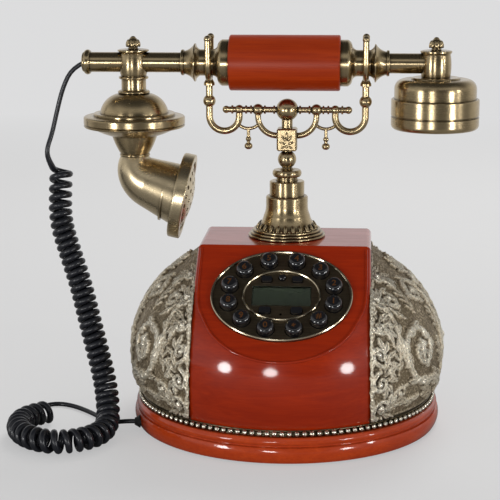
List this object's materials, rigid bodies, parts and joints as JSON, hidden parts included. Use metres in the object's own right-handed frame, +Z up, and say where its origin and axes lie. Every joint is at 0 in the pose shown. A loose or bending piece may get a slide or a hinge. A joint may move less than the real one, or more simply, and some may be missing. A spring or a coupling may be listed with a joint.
{
  "type": "cradle telephone",
  "caption": "Antique-style corded telephone with a domed red body, sloping keypad, bell column, scrolled cradle, horn-mouthed handset and curly cord.",
  "frame": {"origin": "on the table, under the middle of the round plinth, on the axis of the column", "axes": "+Z up along the column, +X along the handset towards the earpiece, +Y away from the keypad to the back"},
  "size_m": [0.2949, 0.199, 0.2496],
  "materials": {
    "red_wood": "gloss lacquer over straight grain",
    "red_lacquer": "gloss lacquer over straight grain",
    "antique_brass": "brushed and antiqued",
    "bronze_resin": "bronze-coloured, dark in the hollows",
    "bronze_plate": "satin",
    "black_gloss": "gloss",
    "display_glass": "clear, over a dark green display",
    "black_plastic": "matt",
    "circuit_board": "satin",
    "rubber": "matt",
    "steel": "plain",
    "cord_black": "semi-gloss jacket"
  },
  "bodies": {
    "base": {"plinth": "red_wood", "bead_ring": "antique_brass", "body_shell": "red_lacquer", "relief_panel_left": "bronze_resin", "relief_panel_right": "bronze_resin", "keypad_plate": "bronze_plate", "display_window": "display_glass", "display_module": "black_plastic", "keypad_mat": "rubber", "keypad_board": "circuit_board", "main_board": "circuit_board", "base_plate": "black_plastic", "foot_ring": "rubber", "base_screws": "steel", "ringer": "black_plastic", "line_jack": "black_plastic", "hook_switch": "black_plastic", "column_bell": "antique_brass", "column_sleeve": "antique_brass", "column_nut": "steel", "cord_lead": "cord_black", "cord_curl": "cord_black", "cord_tail": "cord_black", "cord_grommet": "rubber"},
    "cradle": {"cradle_frame": "antique_brass", "cradle_stem": "antique_brass", "cradle_forks": "antique_brass", "hook_spring": "steel"},
    "handset": {"handset_tube": "antique_brass", "grip_sleeve": "red_wood", "ferrules": "antique_brass", "end_cap": "antique_brass", "mouth_tee": "antique_brass", "ear_tee": "antique_brass", "finials": "antique_brass", "transmitter_dome": "antique_brass", "transmitter_bowl": "antique_brass", "horn_elbow": "antique_brass", "mouth_cap": "antique_brass", "microphone": "black_plastic", "ear_dome": "antique_brass", "ear_cap": "antique_brass", "receiver": "black_plastic"},
    "key_1": {"key_1": "black_gloss"},
    "key_2": {"key_2": "black_gloss"},
    "key_3": {"key_3": "black_gloss"},
    "key_4": {"key_4": "black_gloss"},
    "key_5": {"key_5": "black_gloss"},
    "key_6": {"key_6": "black_gloss"},
    "key_7": {"key_7": "black_gloss"},
    "key_8": {"key_8": "black_gloss"},
    "key_9": {"key_9": "black_gloss"},
    "key_0": {"key_0": "black_gloss"},
    "key_star": {"key_star": "black_gloss"},
    "key_hash": {"key_hash": "black_gloss"},
    "key_upper_left": {"key_upper_left": "black_gloss"},
    "key_upper_middle": {"key_upper_middle": "black_gloss"},
    "key_upper_right": {"key_upper_right": "black_gloss"},
    "key_lower_left": {"key_lower_left": "black_gloss"},
    "key_lower_right": {"key_lower_right": "black_gloss"}
  },
  "joints": [
    {"name": "handset_lift", "type": "slide", "parent": "base", "child": "handset", "axis": [0, 0, 1], "range_m": [0, 0.1], "deforming": ["cord_lead", "cord_curl"]},
    {"name": "hook_travel", "type": "slide", "parent": "base", "child": "cradle", "axis": [0, 0, 1], "range_m": [0, 0.0045], "deforming": ["hook_spring"]},
    {"name": "key_1_press", "type": "slide", "parent": "base", "child": "key_1", "axis": [0, 0.6626, -0.749], "range_m": [0, 0.0015], "stiffness_N_per_m": 150},
    {"name": "key_2_press", "type": "slide", "parent": "base", "child": "key_2", "axis": [0, 0.6626, -0.749], "range_m": [0, 0.0015], "stiffness_N_per_m": 150},
    {"name": "key_3_press", "type": "slide", "parent": "base", "child": "key_3", "axis": [0, 0.6626, -0.749], "range_m": [0, 0.0015], "stiffness_N_per_m": 150},
    {"name": "key_4_press", "type": "slide", "parent": "base", "child": "key_4", "axis": [0, 0.6626, -0.749], "range_m": [0, 0.0015], "stiffness_N_per_m": 150},
    {"name": "key_5_press", "type": "slide", "parent": "base", "child": "key_5", "axis": [0, 0.6626, -0.749], "range_m": [0, 0.0015], "stiffness_N_per_m": 150},
    {"name": "key_6_press", "type": "slide", "parent": "base", "child": "key_6", "axis": [0, 0.6626, -0.749], "range_m": [0, 0.0015], "stiffness_N_per_m": 150},
    {"name": "key_7_press", "type": "slide", "parent": "base", "child": "key_7", "axis": [0, 0.6626, -0.749], "range_m": [0, 0.0015], "stiffness_N_per_m": 150},
    {"name": "key_8_press", "type": "slide", "parent": "base", "child": "key_8", "axis": [0, 0.6626, -0.749], "range_m": [0, 0.0015], "stiffness_N_per_m": 150},
    {"name": "key_9_press", "type": "slide", "parent": "base", "child": "key_9", "axis": [0, 0.6626, -0.749], "range_m": [0, 0.0015], "stiffness_N_per_m": 150},
    {"name": "key_0_press", "type": "slide", "parent": "base", "child": "key_0", "axis": [0, 0.6626, -0.749], "range_m": [0, 0.0015], "stiffness_N_per_m": 150},
    {"name": "key_star_press", "type": "slide", "parent": "base", "child": "key_star", "axis": [0, 0.6626, -0.749], "range_m": [0, 0.0015], "stiffness_N_per_m": 150},
    {"name": "key_hash_press", "type": "slide", "parent": "base", "child": "key_hash", "axis": [0, 0.6626, -0.749], "range_m": [0, 0.0015], "stiffness_N_per_m": 150},
    {"name": "key_upper_left_press", "type": "slide", "parent": "base", "child": "key_upper_left", "axis": [0, 0.6626, -0.749], "range_m": [0, 0.0015], "stiffness_N_per_m": 150},
    {"name": "key_upper_middle_press", "type": "slide", "parent": "base", "child": "key_upper_middle", "axis": [0, 0.6626, -0.749], "range_m": [0, 0.0015], "stiffness_N_per_m": 150},
    {"name": "key_upper_right_press", "type": "slide", "parent": "base", "child": "key_upper_right", "axis": [0, 0.6626, -0.749], "range_m": [0, 0.0015], "stiffness_N_per_m": 150},
    {"name": "key_lower_left_press", "type": "slide", "parent": "base", "child": "key_lower_left", "axis": [0, 0.6626, -0.749], "range_m": [0, 0.0015], "stiffness_N_per_m": 150},
    {"name": "key_lower_right_press", "type": "slide", "parent": "base", "child": "key_lower_right", "axis": [0, 0.6626, -0.749], "range_m": [0, 0.0015], "stiffness_N_per_m": 150}
  ],
  "couplings": [
    {"joint": "hook_travel", "follows": "handset_lift", "ratio": 0.045}
  ]
}
